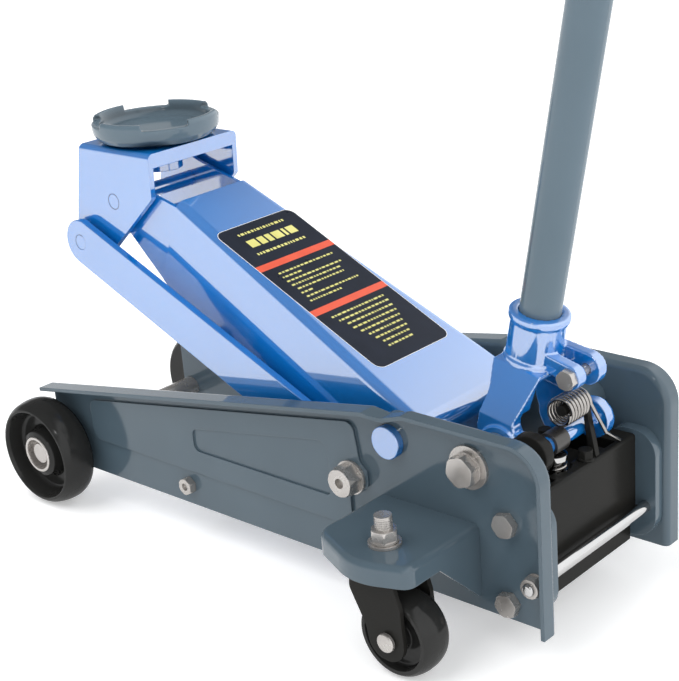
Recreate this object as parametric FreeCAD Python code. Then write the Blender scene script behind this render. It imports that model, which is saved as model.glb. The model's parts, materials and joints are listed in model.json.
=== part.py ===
"""Three-tonne hydraulic trolley jack, built from its pressings, forgings, pins, wheels and power unit.

Units are millimetres. +Z is up, +X points to the handle end and the saddle is at the -X end.
While the pieces are being made, X = 0 is the rear edge of the side plates and Z = 0 is the floor.
ORIGIN_X then moves everything so that X = 0, Y = 0 is the middle of the whole jack on the floor.
The arm stands part-way up and the handle leans back a little: that is the rest position.
"""
import FreeCAD
import Part

import math
import os

from FreeCAD import Rotation, Vector

os.makedirs("parts", exist_ok=True)

# ---------------------------------------------------------------- driving dimensions
ORIGIN_X = 290.5

# chassis
PLATE_Y = 96.0            # outer face of each side plate
PLATE_T = 4.0
PLATE_IN = PLATE_Y - PLATE_T
PLATE_FRONT = -674.0
PLATE_BOTTOM = 37.0
NOSE_Z = 129.0            # top of the plate at its front end
SHOULDER_X = -192.0       # rear end of the sloping front flange
SHOULDER_Z = 210.0
DIP_X = -171.0
DIP_Z = 207.5
DECK_X = -148.0           # where the level rear top begins
DECK_Z = 215.0
DECK_CORNER_R = 34.0
FRONT_FLANGE = 19.0
REAR_FLANGE = 15.0
BEND_R = 6.0
PANEL_RAISE = 3.0
RECESS_DEPTH = 2.0

# pivots, as (X, Z)
ARM_PIVOT = (-176.0, 179.0)
LINK_OFFSET = (-48.0, -47.5)   # from an arm pivot to the matching link pivot
ARM_LENGTH = 424.0
ARM_ANGLE = 22.5               # above the horizontal, at rest
SOCKET_PIVOT = (-85.0, 176.5)
HANDLE_LEAN = 11.8             # from the vertical, at rest

# pins and shafts, as radii
ARM_SHAFT_R = 16.0
HEAD_PIN_R = 8.0
LINK_PIN_R = 8.0
SOCKET_BOLT_R = 9.0
RAM_PIN_R = 8.0
AXLE_R = 12.0
FIT = 0.06                     # radial clearance of a running fit
SEAT = 0.02                    # radial clearance of a fixed pin in its hole

# wheels and casters
WHEEL_X = -662.0
WHEEL_R = 60.0
WHEEL_OUT = 143.0              # outer face
WHEEL_W = 38.0
CASTER_STUD = (-125.0, 168.0)  # X, distance from the centre plane
CASTER_TRAIL = 16.0
CASTER_R = 41.0
STUD_R = 8.0
CASTER_W = 34.0
BRACKET_TOP = 122.0

# lift arm
ARM_WALL = 4.0
ARM_HALF_REAR = 76.0           # half width at the shaft
ARM_HALF_FRONT = 50.0          # half width where the cover ends
COVER_END = 348.0              # distance from the shaft
COVER_RISE = 21.0              # cover above the shaft
COVER_RISE_FRONT = 40.4
RAM_PIN = (-55.0, -85.0)       # from the shaft, at rest

# head
BRACKET_HALF = 61.0
CHEEK_T = 6.0
HEAD_TOP = 397.0
SADDLE_X = -558.5
SADDLE_R = 66.0
SADDLE_TOP = 423.0
LINK_HALF = 24.0
LINK_T = 8.0
LINK_OUT_FRONT = 74.0
LINK_OUT_REAR = 86.0

# power unit
BLOCK_REAR = -28.0
BLOCK_FRONT = -105.0
BLOCK_HALF = 80.0
BLOCK_BOTTOM = 42.0
BLOCK_TOP = 153.5
CYLINDER_Z = 92.0
CYLINDER_R = 36.0
CYLINDER_FRONT = -150.0
GLAND_FRONT = -161.0
RAM_R = 15.0
PUMP_X = -52.0
PUMP_Y = -16.0
PUMP_WELL_Z = 120.0
VALVE_X = -98.0

# socket and handle, along the leaning handle from the socket pivot
AXIS_OFFSET = -13.0            # handle axis in front of the pivot
HANDLE_R = 19.0
TUBE_WALL = 2.5
SOCKET_BASE = 68.0               # joint between neck and yoke
SOCKET_FLOOR = 70.0
SOCKET_RING = 108.0
SOCKET_TOP = 116.0
TUBE_JOINT = 560.0
HANDLE_END = 1064.0
ROLLER_RADIUS_ARM = 33.0
ROLLER_R = 11.0
ROLLER_PIN_R = 8.0
CLAMP = (35.0, 72.5)           # clamp bolt, behind and above the socket pivot along the handle
SPRING_POS = (39.0, 30.0)      # torsion spring centre, from the socket pivot
ROLLER_DROP = -2.0             # roller below the level of the pivot at rest, in degrees
EYE_OUT = 56.0                 # outer face of the socket's eyes


# ---------------------------------------------------------------- construction helpers
def outline(corners, y=0.0):
    """A closed face in the XZ plane at Y = y. Each corner is (x, z) or (x, z, radius)."""
    count = len(corners)
    starts = []
    ends = []
    middles = []
    for i in range(count):
        here = Vector(corners[i][0], y, corners[i][1])
        radius = corners[i][2] if len(corners[i]) > 2 else 0.0
        before = Vector(corners[i - 1][0], y, corners[i - 1][1])
        after = Vector(corners[(i + 1) % count][0], y, corners[(i + 1) % count][1])
        to_before = (before - here).normalize()
        to_after = (after - here).normalize()
        if radius == 0.0:
            starts.append(here)
            ends.append(here)
            middles.append(None)
            continue
        half = to_before.getAngle(to_after) / 2
        reach = radius / math.tan(half)
        centre = here + (to_before + to_after).normalize() * (radius / math.sin(half))
        starts.append(here + to_before * reach)
        ends.append(here + to_after * reach)
        middles.append(centre + (here - centre).normalize() * radius)
    edges = []
    for i in range(count):
        if middles[i] is not None:
            edges.append(Part.Arc(starts[i], middles[i], ends[i]).toShape())
        following = starts[(i + 1) % count]
        if (following - ends[i]).Length > 1e-6:
            edges.append(Part.makeLine(ends[i], following))
    return Part.Face(Part.Wire(edges))


def prism(corners, y0, y1):
    return outline(corners, y0).extrude(Vector(0, y1 - y0, 0))


def plan_prism(corners, z0, z1):
    """A prism whose corners are (x, y) or (x, y, radius), standing from z0 to z1."""
    solid = outline(corners).extrude(Vector(0, z0 - z1, 0))
    solid.rotate(Vector(0, 0, 0), Vector(1, 0, 0), -90)
    solid.translate(Vector(0, 0, z0))
    return solid


def box(x0, x1, y0, y1, z0, z1):
    return Part.makeBox(x1 - x0, y1 - y0, z1 - z0, Vector(x0, y0, z0))


def rod_y(x, z, radius, y0, y1):
    return Part.makeCylinder(radius, y1 - y0, Vector(x, y0, z), Vector(0, 1, 0))


def rod_z(x, y, radius, z0, z1):
    return Part.makeCylinder(radius, z1 - z0, Vector(x, y, z0), Vector(0, 0, 1))


def rod_x(y, z, radius, x0, x1):
    return Part.makeCylinder(radius, x1 - x0, Vector(x0, y, z), Vector(1, 0, 0))


def hexagon(across_flats, length, turn=0.0):
    """A hexagonal bar along +Z from the origin."""
    radius = across_flats / math.sqrt(3)
    points = []
    for k in range(7):
        angle = math.radians(60 * k + turn)
        points.append(Vector(radius * math.cos(angle), radius * math.sin(angle), 0))
    bar = Part.Face(Part.makePolygon(points)).extrude(Vector(0, 0, length))
    crown = Part.makeCone(radius + length * 0.15, radius - length * 0.12, length)
    return bar.common(crown.fuse(Part.makeCylinder(radius + 1, length * 0.6)))


def bolt_y(x, z, across_flats, head, radius, face_y, tip_y, turn=0.0, dimple=0.0):
    """A hexagon bolt or nut on the -Y side: its head sits outside face_y and its shank runs to tip_y."""
    solid = hexagon(across_flats, head, turn)
    if dimple > 0:
        solid = solid.cut(Part.makeCylinder(dimple, head * 0.35, Vector(0, 0, head * 0.65)))
    solid.rotate(Vector(0, 0, 0), Vector(1, 0, 0), 90)
    solid.translate(Vector(x, face_y, z))
    if tip_y > face_y:
        solid = solid.fuse(rod_y(x, z, radius, face_y - head * 0.5, tip_y))
    return solid


def ring_y(x, z, outer, inner, y0, y1):
    return rod_y(x, z, outer, y0, y1).cut(rod_y(x, z, inner, y0 - 1, y1 + 1))


def ring_z(x, y, outer, inner, z0, z1):
    return rod_z(x, y, outer, z0, z1).cut(rod_z(x, y, inner, z0 - 1, z1 + 1))


def turned(profile, axis_point, axis):
    """A turned solid from (radius, height[, corner radius]) points, with its axis moved to lie along `axis`."""
    solid = outline(profile).revolve(Vector(0, 0, 0), Vector(0, 0, 1), 360)
    solid.Placement = FreeCAD.Placement(axis_point, Rotation(Vector(0, 0, 1), axis))
    return solid


def mirrored(shape):
    return shape.mirror(Vector(0, 0, 0), Vector(0, 1, 0))


def both_sides(shape):
    return Part.makeCompound([shape, mirrored(shape)])


def coil(radius, wire, pitch, height):
    """A round-wire helix about +Z, with its first turn at Z = wire."""
    path = Part.makeHelix(pitch, height, radius)
    section = Part.Wire(Part.makeCircle(wire, Vector(radius, 0, 0), Vector(0, 1, 0)))
    spring = Part.Wire(path.Edges).makePipeShell([section], True, True)
    spring.translate(Vector(0, 0, wire))
    return spring


def fillet_where(shape, radius, chosen):
    edges = [edge for edge in shape.Edges if chosen(edge)]
    return shape.makeFillet(radius, edges)


def rotated_about_y(shape, degrees, point):
    shape = shape.copy()
    shape.rotate(Vector(point[0], 0, point[1]), Vector(0, 1, 0), degrees)
    return shape


# ---------------------------------------------------------------- derived positions
def arm_point(along, above):
    """World (X, Z) of a point given along the arm and above its centre line."""
    lift = math.radians(ARM_ANGLE)
    x = ARM_PIVOT[0] - along * math.cos(lift) + above * math.sin(lift)
    z = ARM_PIVOT[1] + along * math.sin(lift) + above * math.cos(lift)
    return (x, z)


def offset_point(point, offset):
    return (point[0] + offset[0], point[1] + offset[1])


HEAD_PIVOT = arm_point(ARM_LENGTH, 0.0)
LINK_PIVOT = offset_point(ARM_PIVOT, LINK_OFFSET)
LINK_HEAD_PIVOT = offset_point(HEAD_PIVOT, LINK_OFFSET)
RAM_PIN_POS = offset_point(ARM_PIVOT, RAM_PIN)
CASTER_X = CASTER_STUD[0] + CASTER_TRAIL
BOLT_CROSS_BAR = (-461.0, 59.0)
BLOCK_BOLTS = [(-47.0, 131.5), (-47.0, 53.0)]
TIE_ROD = (-17.5, 81.5)
TIE_R = 6.0
CROSS_BAR_R = 5.0
PAD_T = PLATE_IN - BLOCK_HALF


# ---------------------------------------------------------------- chassis
def plate_outline(inset):
    """Side view of a side plate, moved inwards by `inset` along its top and rear edges only."""
    return [
        (PLATE_FRONT, PLATE_BOTTOM),
        (PLATE_FRONT, NOSE_Z - inset),
        (SHOULDER_X, SHOULDER_Z - inset, 10),
        (DIP_X, DIP_Z - inset, 14),
        (DECK_X, DECK_Z - inset, 14),
        (-inset, DECK_Z - inset, DECK_CORNER_R - inset),
        (-inset, PLATE_BOTTOM),
    ]


def panel_corners(inset):
    """The raised panel, wrapped round the link pivot boss at its rear edge."""
    slope = (SHOULDER_Z - NOSE_Z) / (SHOULDER_X - PLATE_FRONT)
    drop = 17.0 + inset
    front = -609.0 + inset
    rear = -215.0 - inset
    low = 78.0 + inset
    lower_rear = -228.0 - inset

    def top(x):
        return NOSE_Z - drop + slope * (x - PLATE_FRONT)

    return [
        (front, low, 12 - inset / 2),
        (front, top(front), 12 - inset / 2),
        (rear - 4, top(rear - 4), 10 - inset / 2),
        (rear + 2, LINK_PIVOT[1] + 18, 8),
        (rear + 11, LINK_PIVOT[1] + 10, 6),
        (rear + 11, LINK_PIVOT[1] - 6, 6),
        (lower_rear, LINK_PIVOT[1] - 20, 6),
        (lower_rear, low, 4),
    ]


def recess_corners(outset):
    """The long rounded triangle sunk into the raised panel."""
    return [
        (-444.0 - outset, 103.5 - outset, 8 + outset),
        (-444.0 - outset, 127.5 + outset, 8 + outset),
        (-253.0 + outset, 161.0 + outset, 12 + outset),
        (-253.0 + outset, 103.5 - outset, 6 + outset),
    ]


def side_plate():
    """The left side plate: a pressed wall with an outward flange along its top and rear edges."""
    solid = prism(plate_outline(0), -PLATE_Y - FRONT_FLANGE, -PLATE_IN)
    solid = fillet_where(solid, BEND_R, lambda e: is_bend(e, -PLATE_IN))
    trough = prism(plate_outline(PLATE_T), -PLATE_Y - FRONT_FLANGE - 20, -PLATE_Y)
    trough = fillet_where(trough, BEND_R - PLATE_T + 1, lambda e: is_bend(e, -PLATE_Y))
    solid = solid.cut(trough)
    narrow = [
        Vector(SHOULDER_X + 2, -PLATE_Y - FRONT_FLANGE - 1, 0), Vector(DIP_X + 3, -PLATE_Y - REAR_FLANGE, 0),
        Vector(20, -PLATE_Y - REAR_FLANGE, 0), Vector(20, -PLATE_Y - FRONT_FLANGE - 1, 0),
    ]
    solid = solid.cut(Part.Face(Part.makePolygon(narrow + narrow[:1])).extrude(Vector(0, 0, 400)))
    panel = prism(panel_corners(0), -PLATE_Y - PANEL_RAISE, -PLATE_Y)
    hollow = prism(panel_corners(PLATE_T), -PLATE_Y, -PLATE_IN)
    hollow.translate(Vector(0, PLATE_T - PANEL_RAISE, 0))
    recess = prism(recess_corners(0), -PLATE_Y - PANEL_RAISE, -PLATE_Y - PANEL_RAISE + RECESS_DEPTH)
    land = prism(recess_corners(PLATE_T), -PLATE_Y, -PLATE_IN)
    solid = solid.fuse(panel).cut(hollow.cut(land)).cut(recess)
    holes = [
        rod_y(WHEEL_X, WHEEL_R, AXLE_R + SEAT, -120, -80),
        rod_y(BOLT_CROSS_BAR[0], BOLT_CROSS_BAR[1], CROSS_BAR_R + SEAT, -120, -80),
        rod_y(LINK_PIVOT[0], LINK_PIVOT[1], LINK_PIN_R + SEAT, -120, -80),
        rod_y(ARM_PIVOT[0], ARM_PIVOT[1], ARM_SHAFT_R + FIT, -120, -80),
        rod_y(SOCKET_PIVOT[0], SOCKET_PIVOT[1], SOCKET_BOLT_R + SEAT, -120, -80),
        rod_y(TIE_ROD[0], TIE_ROD[1], TIE_R + SEAT, -120, -80),
    ]
    holes += [rod_y(x, z, TIE_R + SEAT, -120, -80) for x, z in BLOCK_BOLTS]
    return solid.cut(Part.makeCompound(holes)).removeSplitter()


def is_bend(edge, y):
    """Top and rear edges of the plate outline that lie in the plane Y = y."""
    bounds = edge.BoundBox
    in_plane = abs(bounds.YMin - y) < 1e-3 and abs(bounds.YMax - y) < 1e-3
    return in_plane and bounds.ZMax > PLATE_BOTTOM + 1 and bounds.XMax > PLATE_FRONT + 1


def block_pad():
    """A rounded spacer that fills the gap between a side plate and the pump block."""
    corners = [(-62, 48, 24), (-62, 158, 24), (-6, 158, 24), (-6, 48, 24)]
    pad = prism(corners, -PLATE_IN, -BLOCK_HALF)
    holes = [rod_y(x, z, TIE_R + SEAT, -120, -60) for x, z in BLOCK_BOLTS + [TIE_ROD]]
    return pad.cut(Part.makeCompound(holes))


def bracket_corners(inset):
    """The caster bracket seen from above, moved inwards by `inset` on its three free sides."""
    front = -193.0 + inset
    rear = -78.0 - inset
    return [
        (front, -PLATE_Y),
        (front, -182.0 + inset, 22 - inset),
        (-128.0, -211.0 + inset, 60 - inset),
        (rear, -193.0 + inset, 12 - inset),
        (rear, -PLATE_Y),
    ]


def caster_bracket():
    """A pressed shelf outside the left plate, with a turned-down rim and a gusset at each end."""
    shell = plan_prism(bracket_corners(0), 0, BRACKET_TOP)
    shell = fillet_where(shell, BEND_R, lambda e: e.BoundBox.ZMin > BRACKET_TOP - 1e-3
                         and e.BoundBox.YMin < -PLATE_Y - 1)
    shell = shell.cut(plan_prism(bracket_corners(PLATE_T), -1, BRACKET_TOP - PLATE_T))
    rim_z = BRACKET_TOP - 20
    gusset_z = 52.0
    below = [(-240.0, -1.0), (-240.0, rim_z), (-152.0, rim_z), (-PLATE_Y - 4, gusset_z), (-PLATE_Y, gusset_z),
             (-PLATE_Y, -1.0)]
    points = [Vector(-220, y, z) for y, z in below]
    cutter = Part.Face(Part.makePolygon(points + points[:1])).extrude(Vector(160, 0, 0))
    hole = rod_z(CASTER_STUD[0], -CASTER_STUD[1], STUD_R + SEAT, 0, 200)
    return shell.cut(cutter).cut(hole)


def front_axle():
    bar = rod_y(WHEEL_X, WHEEL_R, AXLE_R, -136, 136)
    return fillet_where(bar, 1.5, lambda e: abs(abs(e.BoundBox.YMin) - 136) < 0.01
                        and abs(abs(e.BoundBox.YMax) - 136) < 0.01)


def link_bolt():
    """Shouldered bolt that carries the rear end of a saddle link; its big nut shows outside."""
    nut = bolt_y(LINK_PIVOT[0], LINK_PIVOT[1], 27, 15, LINK_PIN_R, -PLATE_Y - PANEL_RAISE - 3, -79, 14, 5)
    washer = rod_y(LINK_PIVOT[0], LINK_PIVOT[1], 17, -PLATE_Y - PANEL_RAISE - 3, -PLATE_Y - PANEL_RAISE)
    return nut.fuse(washer)


def pivot_spacer():
    """The three distance rings between a side plate and the parts that turn inside it."""
    reach = {
        LINK_PIVOT: (13, LINK_PIN_R, LINK_OUT_REAR + 0.8),
        SOCKET_PIVOT: (17, SOCKET_BOLT_R, EYE_OUT + 0.6),
        ARM_PIVOT: (23, ARM_SHAFT_R + FIT, ARM_HALF_REAR + 2),
    }
    rings = []
    for (x, z), (radius, pin, inner_y) in reach.items():
        rings.append(ring_y(x, z, radius, pin + SEAT, -PLATE_IN, -inner_y))
    return Part.makeCompound(rings)


def socket_bolt():
    return bolt_y(SOCKET_PIVOT[0], SOCKET_PIVOT[1], 27, 10, SOCKET_BOLT_R, -PLATE_Y - 6, -38, 20)


def socket_washer():
    flat = ring_y(SOCKET_PIVOT[0], SOCKET_PIVOT[1], 20.5, SOCKET_BOLT_R + SEAT, -PLATE_Y - 3.4, -PLATE_Y)
    lock = ring_y(SOCKET_PIVOT[0], SOCKET_PIVOT[1], 15.5, SOCKET_BOLT_R + SEAT, -PLATE_Y - 6, -PLATE_Y - 3.6)
    return Part.makeCompound([flat, lock])


def block_bolt(position):
    return bolt_y(position[0], position[1], 21, 8, TIE_R, -PLATE_Y, -60, 12)


def rear_tie_rod():
    bar = rod_y(TIE_ROD[0], TIE_ROD[1], TIE_R, -PLATE_Y - 15, PLATE_Y + 15)
    return fillet_where(bar, 3, lambda e: abs(e.BoundBox.YMin - e.BoundBox.YMax) < 0.01)


def tie_rod_nut():
    nut = bolt_y(TIE_ROD[0], TIE_ROD[1], 18, 10, TIE_R, -PLATE_Y - 1.5, -PLATE_Y - 1.5, 5)
    flange = rod_y(TIE_ROD[0], TIE_ROD[1], 10.4, -PLATE_Y - 1.5, -PLATE_Y)
    return nut.fuse(flange).cut(rod_y(TIE_ROD[0], TIE_ROD[1], TIE_R + SEAT, -130, -80))


# ---------------------------------------------------------------- power unit
def pump_block():
    block = box(BLOCK_FRONT, BLOCK_REAR, -BLOCK_HALF, BLOCK_HALF, BLOCK_BOTTOM, BLOCK_TOP)
    block = fillet_where(block, 3, lambda e: abs(e.BoundBox.YMax - e.BoundBox.YMin) > 100)
    wide = BLOCK_HALF + 1
    ledge = box(BLOCK_REAR - 6, BLOCK_REAR + 1, -wide, wide, BLOCK_BOTTOM - 1, BLOCK_BOTTOM + 22)
    bores = [
        rod_z(PUMP_X, PUMP_Y, 15, PUMP_WELL_Z, BLOCK_TOP + 1),
        box(PUMP_X - 26, PUMP_X + 8, -57, 57, BLOCK_TOP - 9, BLOCK_TOP + 1),
        box(PUMP_X - 33, PUMP_X + 12, PUMP_Y - 12, PUMP_Y + 12, BLOCK_TOP - 13, BLOCK_TOP + 1),
        box(PUMP_X - 37, PUMP_X + 17, -57, -39, BLOCK_TOP - 21, BLOCK_TOP + 1),
        box(PUMP_X - 37, PUMP_X + 17, 39, 57, BLOCK_TOP - 21, BLOCK_TOP + 1),
        rod_z(PUMP_X, PUMP_Y, 8 + FIT, 58, PUMP_WELL_Z + 1),
        rod_z(VALVE_X, 0, 5 + FIT, 120, BLOCK_TOP + 1),
        rod_x(0, CYLINDER_Z, RAM_R + 6, BLOCK_FRONT - 1, BLOCK_FRONT + 22),
    ]
    for x, z in BLOCK_BOLTS:
        bores.append(rod_y(x, z, TIE_R + SEAT, -BLOCK_HALF - 1, -58))
        bores.append(rod_y(x, z, TIE_R + SEAT, 58, BLOCK_HALF + 1))
    return block.cut(ledge).cut(Part.makeCompound(bores))


def cylinder_tube():
    return rod_x(0, CYLINDER_Z, CYLINDER_R, CYLINDER_FRONT, BLOCK_FRONT).cut(
        rod_x(0, CYLINDER_Z, RAM_R + 6, CYLINDER_FRONT - 1, BLOCK_FRONT + 1))


def cylinder_gland():
    nut = hexagon(66, CYLINDER_FRONT - GLAND_FRONT)
    nut.rotate(Vector(0, 0, 0), Vector(0, 1, 0), -90)
    nut.translate(Vector(CYLINDER_FRONT, 0, CYLINDER_Z))
    return nut.cut(rod_x(0, CYLINDER_Z, RAM_R + FIT, GLAND_FRONT - 1, CYLINDER_FRONT + 1))


def filler_plugs():
    """Oil filler and relief-valve caps on top of the block."""
    caps = []
    for x, y, flats in [(-45, -69, 15), (-36.5, 10.5, 13), (-93, 28, 13)]:
        cap = hexagon(flats, 8)
        cap.translate(Vector(x, y, BLOCK_TOP + 2))
        caps.append(cap.fuse(rod_z(x, y, flats * 0.62, BLOCK_TOP, BLOCK_TOP + 2)))
    return Part.makeCompound(caps)


def spring_stand():
    """A black lug on the block with the stub pin that carries the torsion spring."""
    x = SOCKET_PIVOT[0] + SPRING_POS[0]
    z = SOCKET_PIVOT[1] + SPRING_POS[1]
    foot = BLOCK_REAR - 3
    lug = prism([(foot - 8, BLOCK_TOP), (foot, BLOCK_TOP), (x + 4, z), (x + 1, z - 6)], 19, 25)
    return lug.fuse([rod_y(x, z, 6.5, 19, 25), rod_y(x, z, 5, -12, 20)])


def torsion_spring():
    """Handle return spring: a close coil along Y with one long leg that rests on the block."""
    x = SOCKET_PIVOT[0] + SPRING_POS[0]
    z = SOCKET_PIVOT[1] + SPRING_POS[1]
    wire = 1.8
    radius = 12.0
    half_length = 16.3
    turns = 7
    spring = coil(radius, wire, 2 * half_length / turns, 2 * half_length)
    spring.translate(Vector(0, 0, -wire - half_length))
    spring.rotate(Vector(0, 0, 0), Vector(1, 0, 0), -90)
    spring.translate(Vector(x, 0, z))
    route = [Vector(x + radius, half_length, z), Vector(BLOCK_REAR - 3, 36, z - 35),
             Vector(BLOCK_REAR - 3, 58, BLOCK_TOP + wire + 0.2)]
    leg = Part.makeSphere(wire, route[0])
    for begin, end in zip(route, route[1:]):
        leg = leg.fuse([bar_between(begin, end, wire), Part.makeSphere(wire, end)])
    return Part.makeCompound([spring, leg])


def bar_between(start, end, radius):
    return Part.makeCylinder(radius, (end - start).Length, start, end - start)


# ---------------------------------------------------------------- ram
def ram_rod():
    return rod_x(0, CYLINDER_Z, RAM_R, RAM_PIN_POS[0] + 12, BLOCK_FRONT - 25)


def ram_yoke():
    """Crosshead on the ram: the arm's pin pushes in its tall slot."""
    x = RAM_PIN_POS[0]
    slot_r = RAM_PIN_R + 2.6
    body = prism([(x - 20, 62, 8), (x - 20, 120, 8), (x + 19, 120, 8), (x + 19, 62, 8)], -21, 21)
    front = x - slot_r
    rear = x + slot_r
    slot = prism([(front, 68, 9), (front, 114, 9), (rear, 114, 9), (rear, 68, 9)], -30, 30)
    return body.cut(slot).cut(rod_x(0, CYLINDER_Z, RAM_R + SEAT, x + 12, x + 30))


# ---------------------------------------------------------------- lift arm (made level, then raised)
def arm_half_width(along):
    """Half width of the arm: tapering under the cover, then parallel along the two ears."""
    return ARM_HALF_REAR - (ARM_HALF_REAR - ARM_HALF_FRONT) * min(along / COVER_END, 1.0)


def cover_height(along):
    return COVER_RISE + (COVER_RISE_FRONT - COVER_RISE) * along / COVER_END


def arm_side_corners(inset):
    """Side view of the arm, level, pointing to -X from the shaft."""
    rear = 24.0 - inset
    nose = ARM_LENGTH + 26.0
    return [
        (rear, cover_height(-rear) - inset, 18 - inset),
        (-nose, cover_height(nose) - inset),
        (-nose, -15.0),
        (-329.0, -61.0),
        (-205.0, -96.0),
        (-18.0, -122.0),
        (4.0, -118.0),
        (rear, -20.0),
    ]


def arm_plan(wall):
    """Plan of the arm seen from above, with both long sides moved inwards by `wall`."""
    stations = [-ARM_LENGTH - 40, -COVER_END, 40]
    right = [Vector(x, arm_half_width(-x) - wall, -200) for x in stations]
    left = [Vector(p.x, -p.y, p.z) for p in reversed(right)]
    return Part.Face(Part.makePolygon(right + left + right[:1])).extrude(Vector(0, 0, 400))


def arm_shell():
    outer = prism(arm_side_corners(0), -120, 120).common(arm_plan(0))
    outer = fillet_where(outer, 9, is_cover_edge)
    inner = prism(arm_side_corners(ARM_WALL), -120, 120).common(arm_plan(ARM_WALL))
    inner = fillet_where(inner, 5, is_cover_edge)
    underside = box(-COVER_END, 36, -120, 120, -200, -19).common(arm_plan(ARM_WALL))
    return outer.cut(inner).cut(underside)


def is_cover_edge(edge):
    """Long edges along both sides of the cover."""
    bounds = edge.BoundBox
    return bounds.XMax - bounds.XMin > 200 and bounds.ZMin > 5


def lift_arm():
    beyond = box(-ARM_LENGTH - 60, -COVER_END, -120, 120, -200, 200)
    ears = prism([(-COVER_END + 1, 34), (-ARM_LENGTH + 6, 25, 30), (-ARM_LENGTH - 25, 25, 24),
                  (-ARM_LENGTH - 25, -25, 24), (-ARM_LENGTH + 12, -27, 20), (-COVER_END + 1, -54)], -120, 120)
    gap = ARM_HALF_FRONT - ARM_WALL - 1.5
    between = box(-ARM_LENGTH - 60, -COVER_END, -gap, gap, -200, 200)
    shell = arm_shell().cut(beyond.cut(ears)).cut(between)
    holes = [
        rod_y(0, 0, ARM_SHAFT_R + SEAT, -120, 120),
        rod_y(-ARM_LENGTH, 0, HEAD_PIN_R + FIT, -120, 120),
        rod_y(*level_arm_point(RAM_PIN_POS), RAM_PIN_R + SEAT, -120, 120),
    ]
    return raise_arm(shell.cut(Part.makeCompound(holes)))


def level_arm_point(point):
    """A world (X, Z) point in the level arm's frame."""
    lift = math.radians(ARM_ANGLE)
    dx = point[0] - ARM_PIVOT[0]
    dz = point[1] - ARM_PIVOT[1]
    return (dx * math.cos(lift) - dz * math.sin(lift), dx * math.sin(lift) + dz * math.cos(lift))


def raise_arm(shape):
    shape = rotated_about_y(shape, ARM_ANGLE, (0, 0))
    shape.translate(Vector(ARM_PIVOT[0], 0, ARM_PIVOT[1]))
    return shape


def arm_shaft():
    bar = rod_y(ARM_PIVOT[0], ARM_PIVOT[1], ARM_SHAFT_R, -PLATE_Y - 7.5, PLATE_Y + 7.5)
    return fillet_where(bar, 1.2, lambda e: abs(e.BoundBox.YMin - e.BoundBox.YMax) < 0.01)


def ram_pin():
    return rod_y(RAM_PIN_POS[0], RAM_PIN_POS[1], RAM_PIN_R, -74, 74)


# ---------------------------------------------------------------- head
def saddle_bracket():
    front = SADDLE_X - 54
    rear = SADDLE_X + 54
    low_x = LINK_HEAD_PIVOT[0]
    low_z = LINK_HEAD_PIVOT[1]
    cheek = [
        (front, HEAD_TOP), (rear, HEAD_TOP), (rear - 3, HEAD_TOP - 46, 5), (low_x + 24, low_z - 18, 10),
        (low_x - 12, low_z - 18, 14), (low_x - 18, low_z + 10, 14),
    ]
    body = prism(cheek, -BRACKET_HALF, BRACKET_HALF)
    body = fillet_where(body, 6, is_bracket_bend)
    inside = BRACKET_HALF - CHEEK_T
    room = box(front - 40, rear - 5, -inside, inside, 200, HEAD_TOP - CHEEK_T)
    window = box(rear - 20, rear + 20, -inside, inside, 200, HEAD_TOP - 15)
    body = body.cut(room).cut(window)
    holes = [
        rod_y(HEAD_PIVOT[0], HEAD_PIVOT[1], HEAD_PIN_R + SEAT, -80, 80),
        rod_y(low_x, low_z, LINK_PIN_R + SEAT, -80, 80),
        rod_z(SADDLE_X, 0, 15 + FIT, 300, 420),
    ]
    boss = rod_z(SADDLE_X, 0, 23, HEAD_TOP - CHEEK_T - 26, HEAD_TOP - CHEEK_T)
    return body.fuse(boss).cut(Part.makeCompound(holes))


def is_bracket_bend(edge):
    bounds = edge.BoundBox
    return bounds.ZMin > HEAD_TOP - 1e-3 and bounds.XMax - bounds.XMin > 50


def head_pin():
    return rod_y(HEAD_PIVOT[0], HEAD_PIVOT[1], HEAD_PIN_R, -BRACKET_HALF, BRACKET_HALF)


def link_head_pin():
    return rod_y(LINK_HEAD_PIVOT[0], LINK_HEAD_PIVOT[1], LINK_PIN_R, -LINK_OUT_FRONT, LINK_OUT_FRONT)


def head_washer():
    return ring_y(LINK_HEAD_PIVOT[0], LINK_HEAD_PIVOT[1], 14, LINK_PIN_R + SEAT,
                  -LINK_OUT_FRONT + LINK_T + 0.8, -BRACKET_HALF)


def saddle_link():
    """Left saddle link: a flat bar that splays outwards towards the chassis."""
    length = ARM_LENGTH
    low = -length - LINK_HALF
    end_radius = LINK_HALF - 0.01
    bar = prism([(low, -LINK_HALF, end_radius), (low, LINK_HALF, end_radius),
                 (LINK_HALF, LINK_HALF, end_radius), (LINK_HALF, -LINK_HALF, end_radius)],
                -LINK_T / 2, LINK_T / 2)
    bar = fillet_where(bar, 1, lambda e: e.BoundBox.YMax - e.BoundBox.YMin < 1e-3)
    splay = math.degrees(math.atan2(LINK_OUT_REAR - LINK_OUT_FRONT, length))
    bar.rotate(Vector(0, 0, 0), Vector(0, 0, 1), -splay)
    bar.translate(Vector(0, -LINK_OUT_REAR + LINK_T / 2, 0))
    bar = rotated_about_y(bar, ARM_ANGLE, (0, 0))
    bar.translate(Vector(LINK_PIVOT[0], 0, LINK_PIVOT[1]))
    holes = [rod_y(LINK_PIVOT[0], LINK_PIVOT[1], LINK_PIN_R + FIT, -120, 0),
             rod_y(LINK_HEAD_PIVOT[0], LINK_HEAD_PIVOT[1], LINK_PIN_R + FIT, -120, 0)]
    return bar.cut(Part.makeCompound(holes))


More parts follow.
